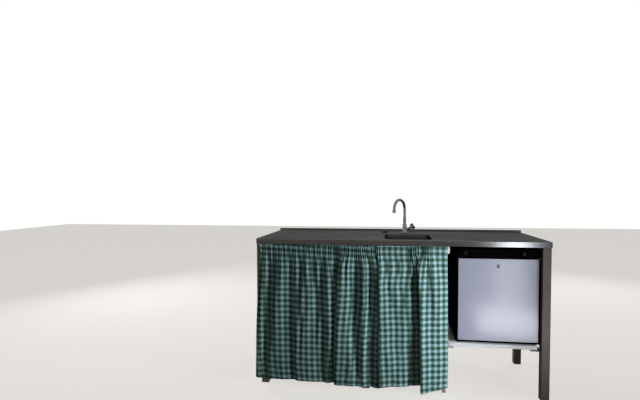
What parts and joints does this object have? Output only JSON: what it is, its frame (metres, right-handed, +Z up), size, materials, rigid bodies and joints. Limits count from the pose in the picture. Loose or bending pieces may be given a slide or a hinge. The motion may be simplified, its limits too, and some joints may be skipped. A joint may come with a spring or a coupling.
{
  "type": "kitchenette",
  "caption": "Free-standing hut kitchenette: steel worktop with sink and swan-neck tap, gathered check curtain on a wire, timber frame and a shelf with a compact fridge whose door opens.",
  "frame": {"origin": "on the floor, at the middle of the footprint, curtain included", "axes": "+Z up, front towards -Y, +X to the right as seen from the front"},
  "size_m": [1.7, 0.624, 1.137],
  "materials": {
    "stainless": "satin brushed stainless sheet",
    "board_core": "raw particle board",
    "brass": "turned brass",
    "white_plastic": "moulded",
    "black_rubber": "moulded, matt",
    "chrome": "polished",
    "cream_paint": "brushed satin paint on softwood and board",
    "white_paint": "satin paint",
    "checked_cotton": "woven green and white check",
    "black_enamel": "satin black",
    "white_liner": "vacuum formed",
    "white_wire": "dipped",
    "black_plastic": "moulded",
    "lamp_window": "clear window",
    "bright_steel": "nickelled",
    "white_enamel": "smooth enamel",
    "grey_seal": "extruded soft seal"
  },
  "bodies": {
    "kitchenette": {"worktop": "stainless", "worktop_core": "board_core", "sink_bowl": "stainless", "sink_waste": "stainless", "fixing_nuts": "brass", "bottle_trap": "white_plastic", "sink_plug": "black_rubber", "tap_base": "chrome", "left_side_panel": "cream_paint", "fridge_divider": "cream_paint", "left_front_leg": "cream_paint", "left_back_leg": "cream_paint", "middle_front_leg": "cream_paint", "middle_back_leg": "cream_paint", "right_front_post": "cream_paint", "right_back_post": "cream_paint", "curtain_rail": "white_paint", "wall_rail": "cream_paint", "cross_rails": "cream_paint", "fridge_shelf": "white_paint", "shelf_bearers": "cream_paint", "curtain_wire": "white_plastic", "wire_brackets": "white_plastic", "curtain_left": "checked_cotton", "curtain_mid_left": "checked_cotton", "curtain_mid_right": "checked_cotton", "curtain_right": "checked_cotton", "fridge_cabinet": "black_enamel", "fridge_liner": "white_liner", "fridge_rack": "white_wire", "fridge_fascia": "black_plastic", "fridge_lamp": "lamp_window", "fridge_plinth": "black_plastic", "hinge_pins": "bright_steel", "fridge_feet": "black_rubber", "cooling_coil": "black_enamel", "absorber_vessel": "black_enamel"},
    "door": {"fridge_door": "black_plastic", "fridge_door_panel": "white_enamel", "door_lock": "bright_steel", "fridge_door_liner": "white_liner", "door_gasket": "grey_seal"},
    "spout": {"tap_spout": "chrome", "tap_aerator": "chrome"},
    "handle": {"tap_handle": "chrome"},
    "dial": {"fridge_dial": "black_plastic"}
  },
  "joints": [
    {"name": "door_hinge", "type": "hinge", "parent": "kitchenette", "child": "door", "pos_m": [0.351, -0.246, 0.559], "axis": [0, 0, -1], "range_deg": [0, 105]},
    {"name": "spout_swivel", "type": "hinge", "parent": "kitchenette", "child": "spout", "pos_m": [0.055, 0.162, 0.95], "axis": [0, 0, 1], "range_deg": [-55, 110]},
    {"name": "handle_turn", "type": "hinge", "parent": "kitchenette", "child": "handle", "pos_m": [0.055, 0.162, 0.914], "axis": [0.848, 0, 0.5299], "range_deg": [0, 90]},
    {"name": "dial_turn", "type": "hinge", "parent": "kitchenette", "child": "dial", "pos_m": [0.707, -0.258, 0.827], "axis": [0, 1, 0], "range_deg": [0, 270]}
  ]
}
